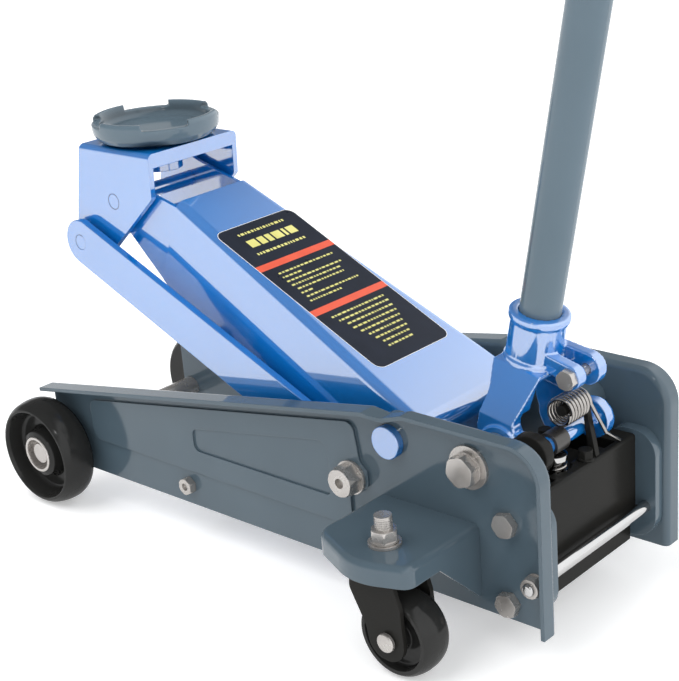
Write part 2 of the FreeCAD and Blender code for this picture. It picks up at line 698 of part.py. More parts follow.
def saddle():
    """Round saddle with a dished top, four shallow notches in its rim and a post underneath."""
    base = HEAD_TOP + 0.4
    rim = SADDLE_TOP
    profile = [
        (0, base - 30), (15, base - 30), (15, base), (SADDLE_R - 14, base), (SADDLE_R - 6, base + 3),
        (SADDLE_R - 1, base + 9), (SADDLE_R, base + 15), (SADDLE_R, rim - 3), (SADDLE_R - 2, rim),
        (SADDLE_R - 6, rim), (SADDLE_R - 8, rim - 4), (SADDLE_R - 10, base + 15), (SADDLE_R - 14, base + 11),
        (0, base + 11),
    ]
    dish = turned(profile, Vector(SADDLE_X, 0, 0), Vector(0, 0, 1))
    for k in range(4):
        notch = box(SADDLE_R - 24, SADDLE_R + 10, -24, 24, rim - 6, rim + 5)
        notch.rotate(Vector(0, 0, 0), Vector(0, 0, 1), -32 + 90 * k)
        notch.translate(Vector(SADDLE_X, 0, 0))
        dish = dish.cut(notch)
    return dish


# ---------------------------------------------------------------- handle socket (made upright, then leaned)
def lean(shape):
    shape = rotated_about_y(shape, HANDLE_LEAN, (0, 0))
    shape.translate(Vector(SOCKET_PIVOT[0], 0, SOCKET_PIVOT[1]))
    return shape


def handle_socket():
    """Upper casting: neck, top ring, clamp lugs and the spring's hook ring, above the yoke."""
    base = SOCKET_BASE
    neck = rod_z(AXIS_OFFSET, 0, 25.5, base, SOCKET_RING + 1)
    ring = rod_z(AXIS_OFFSET, 0, 28, SOCKET_RING, SOCKET_TOP)
    ring = fillet_where(ring, 2, lambda e: abs(e.BoundBox.ZMin - e.BoundBox.ZMax) < 0.01)
    foot = rod_z(AXIS_OFFSET, 0, 27, base, base + 4)
    clamp_x, clamp_n = CLAMP
    lugs = []
    for y0, y1, radius in [(-14, -2, 11), (12, 24, 15)]:
        web = prism([(-5, base), (-5, clamp_n + 13), (clamp_x, clamp_n + radius), (clamp_x, base)], y0, y1)
        lugs += [web, rod_y(clamp_x, clamp_n, radius, y0, y1)]
    body = neck.fuse([ring, foot] + lugs).cut(rod_y(0, 0, base, -40, 40))
    tools = [
        rod_z(AXIS_OFFSET, 0, HANDLE_R + FIT, SOCKET_FLOOR, SOCKET_TOP + 1),
        rod_z(AXIS_OFFSET, 0, 7, 0, SOCKET_FLOOR + 1),
        rod_y(clamp_x, clamp_n, 5 + SEAT, -60, 60),
    ]
    return lean(body.cut(Part.makeCompound(tools)))


def socket_yoke():
    """Lower casting: two legs that splay from the neck to the eyes, with the pump roller's pin behind."""
    inner_y = 38.0
    outer_y = 52.0
    half_top = 27.0
    top = SOCKET_BASE
    across = [Vector(-40, -half_top, top), Vector(-40, half_top, top), Vector(-40, outer_y, 26),
              Vector(-40, outer_y, -3), Vector(-40, -outer_y, -3), Vector(-40, -outer_y, 26)]
    yoke = Part.Face(Part.makePolygon(across + across[:1])).extrude(Vector(60, 0, 0))
    side = [
        (-38, top + 1), (-28, 44, 20), (-28, 10, 12), (-21, -3), (21, -3), (20, 8, 6), (8, 26, 10),
        (14, top + 1),
    ]
    yoke = yoke.common(prism(side, -90, 90))
    eyes = rod_y(0, 0, 22, -EYE_OUT, -inner_y).fuse(rod_y(0, 0, 22, inner_y, EYE_OUT))
    arch = box(-60, 80, -inner_y, inner_y, -40, 34).fuse(rod_y(0, 0, top - 3.5, -27, 27))
    body = yoke.fuse(eyes).cut(arch)
    tools = [
        rod_z(AXIS_OFFSET, 0, 7, 0, top + 1),
        rod_y(0, 0, SOCKET_BOLT_R + FIT, -90, 90),
    ]
    body = lean(body.cut(Part.makeCompound(tools)))
    return body.fuse(drop_roller(roller_lobes())).removeSplitter()


def roller_lobes():
    """Two round lobes behind the eyes and the pin between them."""
    reach = ROLLER_RADIUS_ARM
    lobe = rod_y(reach, 0, 19, -54, -42)
    web = prism([(-4, 14), (reach - 4, 19), (reach - 4, -17), (14, -9), (-4, -4)], -52, -42)
    lobe = lobe.fuse(web)
    pin = rod_y(reach, 0, ROLLER_PIN_R, -45, 45)
    return lobe.fuse([pin, mirrored(lobe)]).cut(rod_y(0, 0, SOCKET_BOLT_R + FIT, -90, 90))


def drop_roller(shape):
    """Moves a shape made level behind the pivot to its place at rest."""
    shape = rotated_about_y(shape, ROLLER_DROP, (0, 0))
    shape.translate(Vector(SOCKET_PIVOT[0], 0, SOCKET_PIVOT[1]))
    return shape


def pump_roller():
    wheel = ring_y(ROLLER_RADIUS_ARM, 0, ROLLER_R, ROLLER_PIN_R + FIT, PUMP_Y - 10, PUMP_Y + 10)
    return drop_roller(wheel)


def clamp_bolt():
    bolt = bolt_y(CLAMP[0], CLAMP[1], 17, 7, 5, -14, 28)
    return lean(bolt)


# ---------------------------------------------------------------- pump plunger and release valve
def roller_centre_z():
    return SOCKET_PIVOT[1] - ROLLER_RADIUS_ARM * math.sin(math.radians(ROLLER_DROP))


def pump_plunger():
    top = roller_centre_z() - ROLLER_R - 0.8
    head = rod_z(PUMP_X, PUMP_Y, 12, top - 5, top)
    return head.fuse(rod_z(PUMP_X, PUMP_Y, 8, 88, top - 4))


def pump_spring():
    top = roller_centre_z() - ROLLER_R - 0.8 - 5
    wire = 1.25
    room = top - PUMP_WELL_Z
    spring = coil(10.6, wire, 5.6, room - 2 * wire - 0.4)
    spring.translate(Vector(PUMP_X, PUMP_Y, PUMP_WELL_Z + 0.2))
    return spring


def valve_spindle():
    stem = rod_z(VALVE_X, 0, 5, 122, 162)
    knuckle = rod_z(VALVE_X, 0, 8, 156, 164)
    slot = box(VALVE_X - 2, VALVE_X + 2, -20, 20, 160, 170)
    return stem.fuse(knuckle).cut(slot)


# ---------------------------------------------------------------- handle
def handle_tube(start, end):
    return rod_z(AXIS_OFFSET, 0, HANDLE_R, start, end).cut(
        rod_z(AXIS_OFFSET, 0, HANDLE_R - TUBE_WALL, start - 1, end + 1))


def lower_handle():
    tube = handle_tube(SOCKET_FLOOR + 0.2, TUBE_JOINT)
    return lean(tube.cut(rod_y(AXIS_OFFSET, TUBE_JOINT - 25, 4 + SEAT, -40, 0)))


def upper_handle():
    tube = handle_tube(TUBE_JOINT + 0.3, HANDLE_END - 4)
    spigot = rod_z(AXIS_OFFSET, 0, HANDLE_R - TUBE_WALL - SEAT, TUBE_JOINT - 60, TUBE_JOINT + 40)
    spigot = spigot.cut(rod_z(AXIS_OFFSET, 0, HANDLE_R - 2 * TUBE_WALL, TUBE_JOINT - 70, TUBE_JOINT + 50))
    whole = tube.fuse(spigot)
    return lean(whole.cut(rod_y(AXIS_OFFSET, TUBE_JOINT - 25, 4 + SEAT, -40, 0)))


def joint_button():
    """Spring button that locks the two handle tubes together."""
    stem = rod_y(AXIS_OFFSET, TUBE_JOINT - 25, 4, -HANDLE_R - 2.5, -HANDLE_R + 5)
    return lean(fillet_where(stem, 1.5, lambda e: e.BoundBox.YMax < -HANDLE_R - 2))


def handle_grip():
    outer = rod_z(AXIS_OFFSET, 0, 22, HANDLE_END - 190, HANDLE_END - 4)
    outer = fillet_where(outer, 2.5, lambda e: abs(e.BoundBox.ZMin - e.BoundBox.ZMax) < 0.01)
    return lean(outer.cut(rod_z(AXIS_OFFSET, 0, HANDLE_R + SEAT, HANDLE_END - 200, HANDLE_END)))


def handle_cap():
    cap = rod_z(AXIS_OFFSET, 0, 22, HANDLE_END - 3.8, HANDLE_END)
    cap = fillet_where(cap, 1.5, lambda e: e.BoundBox.ZMin > HANDLE_END - 0.01)
    return lean(cap.fuse(rod_z(AXIS_OFFSET, 0, HANDLE_R - TUBE_WALL - 0.3, HANDLE_END - 30, HANDLE_END - 3)))


def release_rod():
    """Inner rod that carries the handle's twist down to the release valve."""
    rod = rod_z(AXIS_OFFSET, 0, 5, 64, 100)
    return lean(rod.fuse(rod_z(AXIS_OFFSET, 0, HANDLE_R - TUBE_WALL - SEAT, 86, 92)))


# ---------------------------------------------------------------- wheels
def front_wheel():
    """Left front wheel: crowned tread, deep dish outside and a hub that reaches to the plate."""
    w = WHEEL_W
    rim = WHEEL_R
    hub = [(20.5, -6.5), (20.5, w - 4), (26, w - 6, 1.5), (29, w - 20, 3), (45, w - 20, 5),
           (49, w - 3, 3), (50.5, w, 1)]
    tread = [
        (53, w, 3), (57.5, w - 5.5, 15), (rim, w - 17, 40), (rim, 10, 20), (57, 3, 8), (53.5, 0),
    ]
    profile = hub + tread + [(26, 0), (24, -6.5)]
    point = Vector(WHEEL_X, -WHEEL_OUT + w, WHEEL_R)
    return turned(profile, point, Vector(0, -1, 0))


def wheel_bush():
    """Steel bush pressed into the hub, open at its outer end round the axle."""
    w = WHEEL_W
    bore = AXLE_R + FIT
    profile = [(bore, -6.5), (bore, w - 12), (17, w - 12), (17, w - 3, 0.8), (20.4, w - 3, 0.8), (20.4, -6.5)]
    point = Vector(WHEEL_X, -WHEEL_OUT + w, WHEEL_R)
    return turned(profile, point, Vector(0, -1, 0))


def caster_fork():
    stud_x, stud_y = CASTER_STUD
    crown_z = 108.0
    half = 23.0
    leg = [
        (stud_x - 23, crown_z, 6), (stud_x + 22, crown_z, 6), (CASTER_X + 16, CASTER_R + 36, 20),
        (CASTER_X + 19, CASTER_R - 20, 18.9), (CASTER_X - 20, CASTER_R - 20, 19.5),
        (CASTER_X - 24, CASTER_R + 8, 20), (stud_x - 25, CASTER_R + 42, 12),
    ]
    body = prism(leg, -stud_y - half, -stud_y + half)
    gap = box(stud_x - 60, stud_x + 60, -stud_y - half + 4.5, -stud_y + half - 4.5, 0, crown_z - 5)
    body = body.cut(gap)
    race = rod_z(stud_x, -stud_y, 20, crown_z - 1, crown_z + 6)
    holes = [
        rod_y(CASTER_X, CASTER_R, 6 + SEAT, -stud_y - 40, -stud_y + 40),
        rod_z(stud_x, -stud_y, STUD_R + FIT, 90, 130),
    ]
    return body.fuse(race).cut(Part.makeCompound(holes))


def caster_stud():
    stud_x, stud_y = CASTER_STUD
    return rod_z(stud_x, -stud_y, STUD_R, 99, BRACKET_TOP + 28).fuse(rod_z(stud_x, -stud_y, 12, 97, 102.8))


def caster_nut():
    stud_x, stud_y = CASTER_STUD
    nut = hexagon(22, 10, 10)
    nut.translate(Vector(stud_x, -stud_y, BRACKET_TOP + 5))
    collar = rod_z(stud_x, -stud_y, 12.5, BRACKET_TOP + 3, BRACKET_TOP + 5)
    return nut.fuse(collar).cut(rod_z(stud_x, -stud_y, STUD_R + SEAT, 100, 200))


def caster_washer():
    stud_x, stud_y = CASTER_STUD
    return ring_z(stud_x, -stud_y, 15, STUD_R + SEAT, BRACKET_TOP, BRACKET_TOP + 2.8)


def caster_wheel():
    w = CASTER_W
    rim = CASTER_R
    bore = 6 + FIT
    tread = [
        (36, w, 2), (39, w - 4, 12), (rim, w - 12, 30), (rim, 12, 30), (39, 4, 12), (36, 0, 2),
    ]
    outer = [(bore, -1.5), (bore, w + 1.5), (13, w + 1.5), (14, w - 9, 2), (30, w - 9, 3), (32, w)]
    profile = outer + tread + [(32, 0), (30, 9, 3), (14, 9, 2), (13, -1.5)]
    point = Vector(CASTER_X, -CASTER_STUD[1] + w / 2, CASTER_R)
    return turned(profile, point, Vector(0, -1, 0))


def caster_axle():
    y = -CASTER_STUD[1]
    head = rod_y(CASTER_X, CASTER_R, 9, y - 28, y - 24)
    head = fillet_where(head, 1.5, lambda e: e.BoundBox.YMax < y - 27)
    tail = rod_y(CASTER_X, CASTER_R, 9, y + 24, y + 27)
    return head.fuse([tail, rod_y(CASTER_X, CASTER_R, 6, y - 26, y + 26)])


# ---------------------------------------------------------------- nodes
def make_nodes():
    nodes = {}
    handed = {
        "side_plate": side_plate, "caster_bracket": caster_bracket, "saddle_link": saddle_link,
        "front_wheel": front_wheel, "front_wheel_bush": wheel_bush, "caster_fork": caster_fork,
        "caster_wheel": caster_wheel, "caster_axle": caster_axle,
    }
    for name, make in handed.items():
        shape = make()
        nodes[name + "_left"] = shape
        nodes[name + "_right"] = mirrored(shape)
    paired = {
        "block_pads": block_pad, "link_bolts": link_bolt, "pivot_spacers": pivot_spacer,
        "socket_pivot_bolts": socket_bolt, "socket_pivot_washers": socket_washer,
        "tie_rod_nuts": tie_rod_nut, "caster_studs": caster_stud, "caster_nuts": caster_nut,
        "caster_washers": caster_washer, "link_head_washers": head_washer,
    }
    for name, make in paired.items():
        nodes[name] = both_sides(make())
    nodes["block_bolts"] = both_sides(Part.makeCompound([block_bolt(p) for p in BLOCK_BOLTS]))
    nodes["front_axle"] = front_axle()
    cross_bolt = bolt_y(BOLT_CROSS_BAR[0], BOLT_CROSS_BAR[1], 17, 8, CROSS_BAR_R, -PLATE_Y, -70, 25, 4)
    nodes["cross_bar_bolts"] = both_sides(cross_bolt)
    cross_bar = rod_y(BOLT_CROSS_BAR[0], BOLT_CROSS_BAR[1], 11, -PLATE_IN, PLATE_IN)
    nodes["front_cross_bar"] = cross_bar.cut(rod_y(*BOLT_CROSS_BAR, CROSS_BAR_R + SEAT, -100, 100))
    nodes["rear_tie_rod"] = rear_tie_rod()
    nodes["pump_block"] = pump_block()
    nodes["cylinder_tube"] = cylinder_tube()
    nodes["cylinder_gland"] = cylinder_gland()
    nodes["oil_plugs"] = filler_plugs()
    nodes["spring_stand"] = spring_stand()
    nodes["torsion_spring"] = torsion_spring()
    nodes["ram_rod"] = ram_rod()
    nodes["ram_yoke"] = ram_yoke()
    nodes["lift_arm"] = lift_arm()
    nodes["arm_shaft"] = arm_shaft()
    nodes["ram_pin"] = ram_pin()
    nodes["saddle_bracket"] = saddle_bracket()
    nodes["head_pin"] = head_pin()
    nodes["link_head_pin"] = link_head_pin()
    nodes["saddle"] = saddle()
    nodes["handle_socket"] = handle_socket()
    nodes["socket_yoke"] = socket_yoke()
    nodes["pump_roller"] = pump_roller()
    nodes["clamp_bolt"] = clamp_bolt()
    nodes["pump_plunger"] = pump_plunger()
    nodes["pump_spring"] = pump_spring()
    nodes["valve_spindle"] = valve_spindle()
    nodes["release_rod"] = release_rod()
    nodes["handle_lower"] = lower_handle()
    nodes["handle_upper"] = upper_handle()
    nodes["handle_button"] = joint_button()
    nodes["handle_grip"] = handle_grip()
    nodes["handle_cap"] = handle_cap()
    return nodes


for node, shape in make_nodes().items():
    shape.translate(Vector(ORIGIN_X, 0, 0))
    shape.exportStep("parts/" + node + ".step")
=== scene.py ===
"""Studio scene for the trolley jack: materials, decal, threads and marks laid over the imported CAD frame."""
import json
import math
import random

import bmesh
import bpy
from mathutils import Matrix, Vector


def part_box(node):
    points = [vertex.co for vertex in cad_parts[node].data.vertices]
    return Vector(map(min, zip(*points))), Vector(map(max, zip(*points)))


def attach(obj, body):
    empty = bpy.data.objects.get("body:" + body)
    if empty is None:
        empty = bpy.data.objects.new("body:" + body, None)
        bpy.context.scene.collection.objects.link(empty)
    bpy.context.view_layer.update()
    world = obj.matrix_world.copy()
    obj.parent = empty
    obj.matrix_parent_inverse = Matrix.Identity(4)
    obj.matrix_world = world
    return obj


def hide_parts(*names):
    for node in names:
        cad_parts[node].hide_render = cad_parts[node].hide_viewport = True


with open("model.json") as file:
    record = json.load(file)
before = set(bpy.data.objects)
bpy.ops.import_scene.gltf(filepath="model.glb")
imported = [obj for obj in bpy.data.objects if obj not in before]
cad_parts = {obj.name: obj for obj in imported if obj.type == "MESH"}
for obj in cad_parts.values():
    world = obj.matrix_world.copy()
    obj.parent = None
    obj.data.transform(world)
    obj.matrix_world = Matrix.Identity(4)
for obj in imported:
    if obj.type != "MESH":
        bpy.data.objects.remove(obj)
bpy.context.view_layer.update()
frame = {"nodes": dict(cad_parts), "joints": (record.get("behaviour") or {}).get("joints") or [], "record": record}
JOINTS = {joint["name"]: joint for joint in frame["joints"]}
SLOTS = {part["node"]: part["material_slot"] for part in frame["record"]["subparts"]}
MM = 0.001
WHITE = (1.0, 1.0, 1.0, 1.0)


# ---------------------------------------------------------------- shader helpers
NOISE_LOW, NOISE_HIGH = 0.3, 0.7    # most of a noise texture lies between these values


def new_material(name):
    mat = bpy.data.materials.new(name)
    mat.use_nodes = True
    nodes = mat.node_tree.nodes
    return mat, nodes, mat.node_tree.links, nodes["Principled BSDF"]


def noise(nodes, links, scale, detail=3.0, stretch=None):
    """A noise over the object's own coordinates, stretched along its axes if asked."""
    coord = nodes.new("ShaderNodeTexCoord")
    source = coord.outputs["Object"]
    if stretch:
        mapping = nodes.new("ShaderNodeMapping")
        mapping.inputs["Scale"].default_value = stretch
        links.new(source, mapping.inputs["Vector"])
        source = mapping.outputs["Vector"]
    texture = nodes.new("ShaderNodeTexNoise")
    texture.inputs["Scale"].default_value = scale
    texture.inputs["Detail"].default_value = detail
    links.new(source, texture.inputs["Vector"])
    return texture.outputs["Fac"]


def blend_colours(nodes, links, value, dark, light):
    """Runs from `dark` to `light` over the usual range of a noise."""
    node = nodes.new("ShaderNodeValToRGB")
    stops = [(NOISE_LOW, dark), (NOISE_HIGH, light)]
    for element, (position, colour) in zip(node.color_ramp.elements, stops):
        element.position = position
        element.color = (*colour, 1.0)
    links.new(value, node.inputs["Fac"])
    return node.outputs["Color"]


def level(nodes, links, value, low, high, to_low, to_high):
    """Maps the range low..high of a value to to_low..to_high."""
    node = nodes.new("ShaderNodeMapRange")
    node.inputs["From Min"].default_value = low
    node.inputs["From Max"].default_value = high
    node.inputs["To Min"].default_value = to_low
    node.inputs["To Max"].default_value = to_high
    links.new(value, node.inputs["Value"])
    return node.outputs["Result"]


def bevelled_normal(nodes, radius, samples):
    bevel = nodes.new("ShaderNodeBevel")
    bevel.samples = samples
    bevel.inputs["Radius"].default_value = radius
    return bevel.outputs["Normal"]


def surface_normal(nodes, links, bsdf, height, strength, distance, edge):
    """Rounds hard edges by `edge` metres and adds a fine bump."""
    bump = nodes.new("ShaderNodeBump")
    bump.inputs["Strength"].default_value = strength
    bump.inputs["Distance"].default_value = distance
    links.new(height, bump.inputs["Height"])
    links.new(bevelled_normal(nodes, edge, 6), bump.inputs["Normal"])
    links.new(bump.outputs["Normal"], bsdf.inputs["Normal"])
    links.new(bump.outputs["Normal"], bsdf.inputs["Coat Normal"])


def worn_and_highlit_edges(nodes, links, colour, edge, tint):
    """Mixes a lighter `tint` into a colour along hard edges, broken up by a fine noise: partly edge wear, partly a
    painted edge highlight.
    """
    flat, sharp, most = 0.99, 0.86, 0.5    # cosines of the edge's turn, and the tint's largest share
    edge_tint_scale = 160.0
    facing = nodes.new("ShaderNodeNewGeometry")
    dot = nodes.new("ShaderNodeVectorMath")
    dot.operation = "DOT_PRODUCT"
    links.new(bevelled_normal(nodes, edge, 4), dot.inputs[0])
    links.new(facing.outputs["Normal"], dot.inputs[1])
    turn = level(nodes, links, dot.outputs["Value"], flat, sharp, 0.0, most)
    broken = level(nodes, links, noise(nodes, links, edge_tint_scale, 5.0), 0.35, 0.65, 0.25, 1.0)
    amount = nodes.new("ShaderNodeMath")
    amount.operation = "MULTIPLY"
    links.new(turn, amount.inputs[0])
    links.new(broken, amount.inputs[1])
    mix = nodes.new("ShaderNodeMix")
    mix.data_type = "RGBA"
    links.new(amount.outputs["Value"], mix.inputs["Factor"])
    links.new(colour, mix.inputs["A"])
    mix.inputs["B"].default_value = (*tint, 1.0)
    return mix.outputs["Result"]


def painted_hollow_shade(nodes, links, colour, deepest):
    """Darkens a colour where the surface lies in a recess: painted shade, measured by ambient occlusion."""
    reach, closed, open_air = 60.0 * MM, 0.3, 0.95
    hollow_shade = nodes.new("ShaderNodeAmbientOcclusion")
    hollow_shade.samples = 8
    hollow_shade.inputs["Distance"].default_value = reach
    shade = level(nodes, links, hollow_shade.outputs["AO"], closed, open_air, deepest, 1.0)
    darker = nodes.new("ShaderNodeVectorMath")
    darker.operation = "SCALE"
    links.new(colour, darker.inputs[0])
    links.new(shade, darker.inputs["Scale"])
    return darker.outputs["Vector"]


# ---------------------------------------------------------------- kinds of surface
DRIFT_SCALE = 9.0                      # noise scales are in cycles per metre
SMEAR_SCALE = 38.0
PEEL_SCALE, PEEL_DEPTH = 420.0, 0.05 * MM
PAINT_EDGE = 0.9 * MM
PAINT_ROUGH = (0.46, 0.55)
SCRATCH_SCALE, SCRATCH, SCRATCH_DEPTH = 900.0, 0.1, 0.03 * MM
METAL_EDGE = 0.5 * MM
GRAIN_RATIO, GRAIN_DEPTH = 12, 0.08 * MM


def painted(name, dark, light, coat_ior, coat_rough, peel=0.06, weight=1.0, hollow_shade=1.0):
    """Sprayed enamel: slow colour drift, orange peel, uneven gloss and softened edges."""
    mat, nodes, links, bsdf = new_material(name)
    colour = blend_colours(nodes, links, noise(nodes, links, DRIFT_SCALE, 4.0), dark, light)
    # a lighter colour along hard edges: edge wear and a painted edge highlight
    tint = tuple(min(1.0, 1.5 * channel + 0.01) for channel in light)
    colour = worn_and_highlit_edges(nodes, links, colour, PAINT_EDGE, tint)
    # painted shade: darker colour in recesses, from ambient occlusion
    if hollow_shade < 1.0:
        colour = painted_hollow_shade(nodes, links, colour, hollow_shade)
    links.new(colour, bsdf.inputs["Base Color"])
    smear = noise(nodes, links, SMEAR_SCALE, 5.0)
    gloss = level(nodes, links, smear, NOISE_LOW, NOISE_HIGH, *PAINT_ROUGH)
    links.new(gloss, bsdf.inputs["Roughness"])
    orange_peel = noise(nodes, links, PEEL_SCALE, 2.0)
    surface_normal(nodes, links, bsdf, orange_peel, peel, PEEL_DEPTH, PAINT_EDGE)
    bsdf.inputs["Specular IOR Level"].default_value = 0.0
    bsdf.inputs["Coat Weight"].default_value = weight
    bsdf.inputs["Coat IOR"].default_value = coat_ior
    bsdf.inputs["Coat Roughness"].default_value = coat_rough
    return mat


def metal(name, dark, light, rough_low, rough_high, scale, stretch=None, metallic=1.0):
    """Bare or plated steel with fine streaks and patchy polish."""
    mat, nodes, links, bsdf = new_material(name)
    grain = noise(nodes, links, scale, 5.0, stretch)
    links.new(blend_colours(nodes, links, grain, dark, light), bsdf.inputs["Base Color"])
    gloss = level(nodes, links, grain, NOISE_LOW, NOISE_HIGH, rough_low, rough_high)
    links.new(gloss, bsdf.inputs["Roughness"])
    scratches = noise(nodes, links, SCRATCH_SCALE, 2.0)
    surface_normal(nodes, links, bsdf, scratches, SCRATCH, SCRATCH_DEPTH, METAL_EDGE)
    bsdf.inputs["Metallic"].default_value = metallic
    return mat


def plain(name, dark, light, rough, scale=60.0, bump=0.02, edge=0.05 * MM, specular=0.5):
    """Rubber, print or shadow: one soft colour with a slight grain."""
    mat, nodes, links, bsdf = new_material(name)
    grain = noise(nodes, links, scale, 4.0)
    links.new(blend_colours(nodes, links, grain, dark, light), bsdf.inputs["Base Color"])
    gloss = level(nodes, links, grain, NOISE_LOW, NOISE_HIGH, rough - 0.05, rough + 0.05)
    links.new(gloss, bsdf.inputs["Roughness"])
    fine_grain = noise(nodes, links, scale * GRAIN_RATIO, 3.0)
    surface_normal(nodes, links, bsdf, fine_grain, bump, GRAIN_DEPTH, edge)
    bsdf.inputs["Specular IOR Level"].default_value = specular
    return mat


LIGHT_GREY = ((0.096, 0.138, 0.170), (0.106, 0.150, 0.184))
MATERIALS = {
    "frame_paint": painted("grey_enamel", (0.062, 0.091, 0.114), (0.072, 0.104, 0.129),
                           1.5, 0.09, weight=0.9),
    "tube_paint": painted("light_grey_enamel", *LIGHT_GREY, 1.45, 0.14, weight=0.8),
    # the saddle's dish gets painted shade in its recesses
    "saddle_paint": painted("saddle_enamel", *LIGHT_GREY, 1.5, 0.1, weight=0.9, hollow_shade=0.08),
    "blue_paint": painted("blue_enamel", (0.004, 0.155, 0.500), (0.006, 0.175, 0.550),
                          3.6, 0.06, peel=0.03),
    "black_paint": painted("black_enamel", (0.014, 0.014, 0.013), (0.018, 0.0172, 0.0155),
                           1.4, 0.22, weight=0.28),
    "wheel_iron": painted("black_wheel", (0.017, 0.017, 0.0165), (0.022, 0.022, 0.021),
                          1.45, 0.14, weight=0.5),
    "zinc_steel": metal("zinc_plate", (0.42, 0.395, 0.375), (0.50, 0.475, 0.45),
                        0.2, 0.3, 55.0, metallic=0.72),
    "bright_chrome": metal("hard_chrome", (0.46, 0.455, 0.45), (0.54, 0.535, 0.53),
                           0.06, 0.12, 30.0, (1, 0.1, 1)),
    "spring_steel": metal("spring_wire", (0.30, 0.285, 0.27), (0.42, 0.40, 0.38), 0.12, 0.22, 80.0),
    "oiled_steel": metal("oiled_steel", (0.05, 0.048, 0.046), (0.08, 0.077, 0.073),
                         0.25, 0.35, 60.0, metallic=0.6),
    "grip_rubber": plain("grip_rubber", (0.012, 0.012, 0.012), (0.02, 0.02, 0.02),
                         0.62, 80.0, 0.35, 0.4 * MM),
}
OWN_LOOKS = {"saddle": "saddle_paint", "handle_lower": "tube_paint", "handle_upper": "tube_paint",
             "pump_roller": "oiled_steel", "front_axle": "zinc_steel"}
for node, obj in frame["nodes"].items():
    look = OWN_LOOKS.get(node, SLOTS[node])
    if not obj.material_slots:
        obj.data.materials.append(MATERIALS[look])
    for material_slot in obj.material_slots:
        material_slot.material = MATERIALS[look]


# ---------------------------------------------------------------- mesh helpers
def link_object(name, data):
    obj = bpy.data.objects.new(name, data)
    bpy.context.scene.collection.objects.link(obj)
    return obj


def mesh_from(name, bm):
    mesh = bpy.data.meshes.new(name)
    bm.to_mesh(mesh)
    bm.free()
    return mesh


def make_object(name, bm, material, body, smooth=False):
    mesh = mesh_from(name, bm)
    for polygon in mesh.polygons:
        polygon.use_smooth = smooth
    obj = link_object(name, mesh)
    mesh.materials.append(material)
    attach(obj, body)
    return obj


def rounded_rectangle(u0, u1, v0, v1, radius, steps=8):
    """Corner points of a rounded rectangle, in order."""
    points = []
    corners = [(u1 - radius, v1 - radius, 0), (u0 + radius, v1 - radius, 90),
               (u0 + radius, v0 + radius, 180), (u1 - radius, v0 + radius, 270)]
    for u, v, start in corners:
        for k in range(steps + 1):
            angle = math.radians(start + 90 * k / steps)
            points.append((u + radius * math.cos(angle), v + radius * math.sin(angle)))
    return points


def rectangle(u0, u1, v0, v1):
    return [(u0, v0), (u1, v0), (u1, v1), (u0, v1)]


def add_plate(bm, points, low, high, place):
    """A thin plate over flat (u, v) points, put in space by `place`."""
    top = [bm.verts.new(place @ Vector((u, v, high))) for u, v in points]
    base = [bm.verts.new(place @ Vector((u, v, low))) for u, v in points]
    bm.faces.new(top)
    bm.faces.new(list(reversed(base)))
    for i in range(len(points)):
        j = (i + 1) % len(points)
        bm.faces.new((base[i], base[j], top[j], top[i]))


# ---------------------------------------------------------------- decal on the lift arm
COVER_REAR_RISE = 21.0 * MM      # the cover's height over the line from shaft to head pin, at the shaft
COVER_FRONT_RISE = 40.4 * MM     # and at the cover's front end
COVER_REACH = 348.0 * MM         # from the shaft to the cover's front end
DECAL_FRONT = 289.0 * MM         # from the shaft to the decal's upper edge
DECAL_LENGTH = 231.0 * MM
DECAL_HALF = 53.0 * MM
BORDER = 0.6 * MM
BORDER_R = 10.0 * MM
PANEL_R = 9.5 * MM
BAND_STARTS = (60.0 * MM, 136.0 * MM)
BAND_WIDTH = 8.5 * MM
BORDER_LOW, PANEL_LOW, PRINT_LOW, PRINT_HIGH = 0.02 * MM, 0.12 * MM, 0.18 * MM, 0.22 * MM


def arm_place():
    """Matrix from decal to space: u runs down the cover's slope, v across it and w off its surface."""
    shaft = Vector(JOINTS["arm_lift"]["pos_m"])
    head = Vector(JOINTS["head_level"]["pos_m"])
    along = (head - shaft).normalized()
    above = Vector((0, 1, 0)).cross(along)
    climb = COVER_FRONT_RISE - COVER_REAR_RISE
    slope = (along * COVER_REACH + above * climb).normalized()
    normal = (above - slope * above.dot(slope)).normalized()
    down = -slope
    matrix = Matrix((down, normal.cross(down), normal)).transposed().to_4x4()
    rise = COVER_REAR_RISE + climb * DECAL_FRONT / COVER_REACH
    matrix.translation = shaft + along * DECAL_FRONT + above * rise
    return matrix


def text_rows():
    """Each row's centre, height and reach to either side, in mm: a heading and two notices."""
    heading = [(13, 3.2, 33, 33), (29, 11, 34, 34), (45, 3.2, 36, 36)]
    upper_ends = (40, -12, 40, 34, 30, -20, 38, 8)
    upper = [(78 + 6.6 * k, 2.2, 40, last) for k, last in enumerate(upper_ends)]
    lower = [(153 + 7.2 * k, 2.3, 40 - 2.6 * k, 40 - 2.6 * k) for k in range(9)]
    return heading + upper + lower


def decal_strips():
    """Rows of plain dashes that stand for a notice, with no lettering."""
    rng = random.Random(7)
    large_row, least_dash = 5, 2
    shapes = []
    for centre, height, first, last in text_rows():
        stretch, gap = (2.2, 2.6) if height > large_row else (1.0, 1.7)
        u0, u1 = (centre - height / 2) * MM, (centre + height / 2) * MM
        v = -first + rng.uniform(0, 4)
        while v < last - least_dash:
            end = min(v + rng.uniform(0.9, 3.4) * stretch * 1.6, last)
            shapes.append(rectangle(u0, u1, v * MM, end * MM))
            v = end + gap
    return shapes


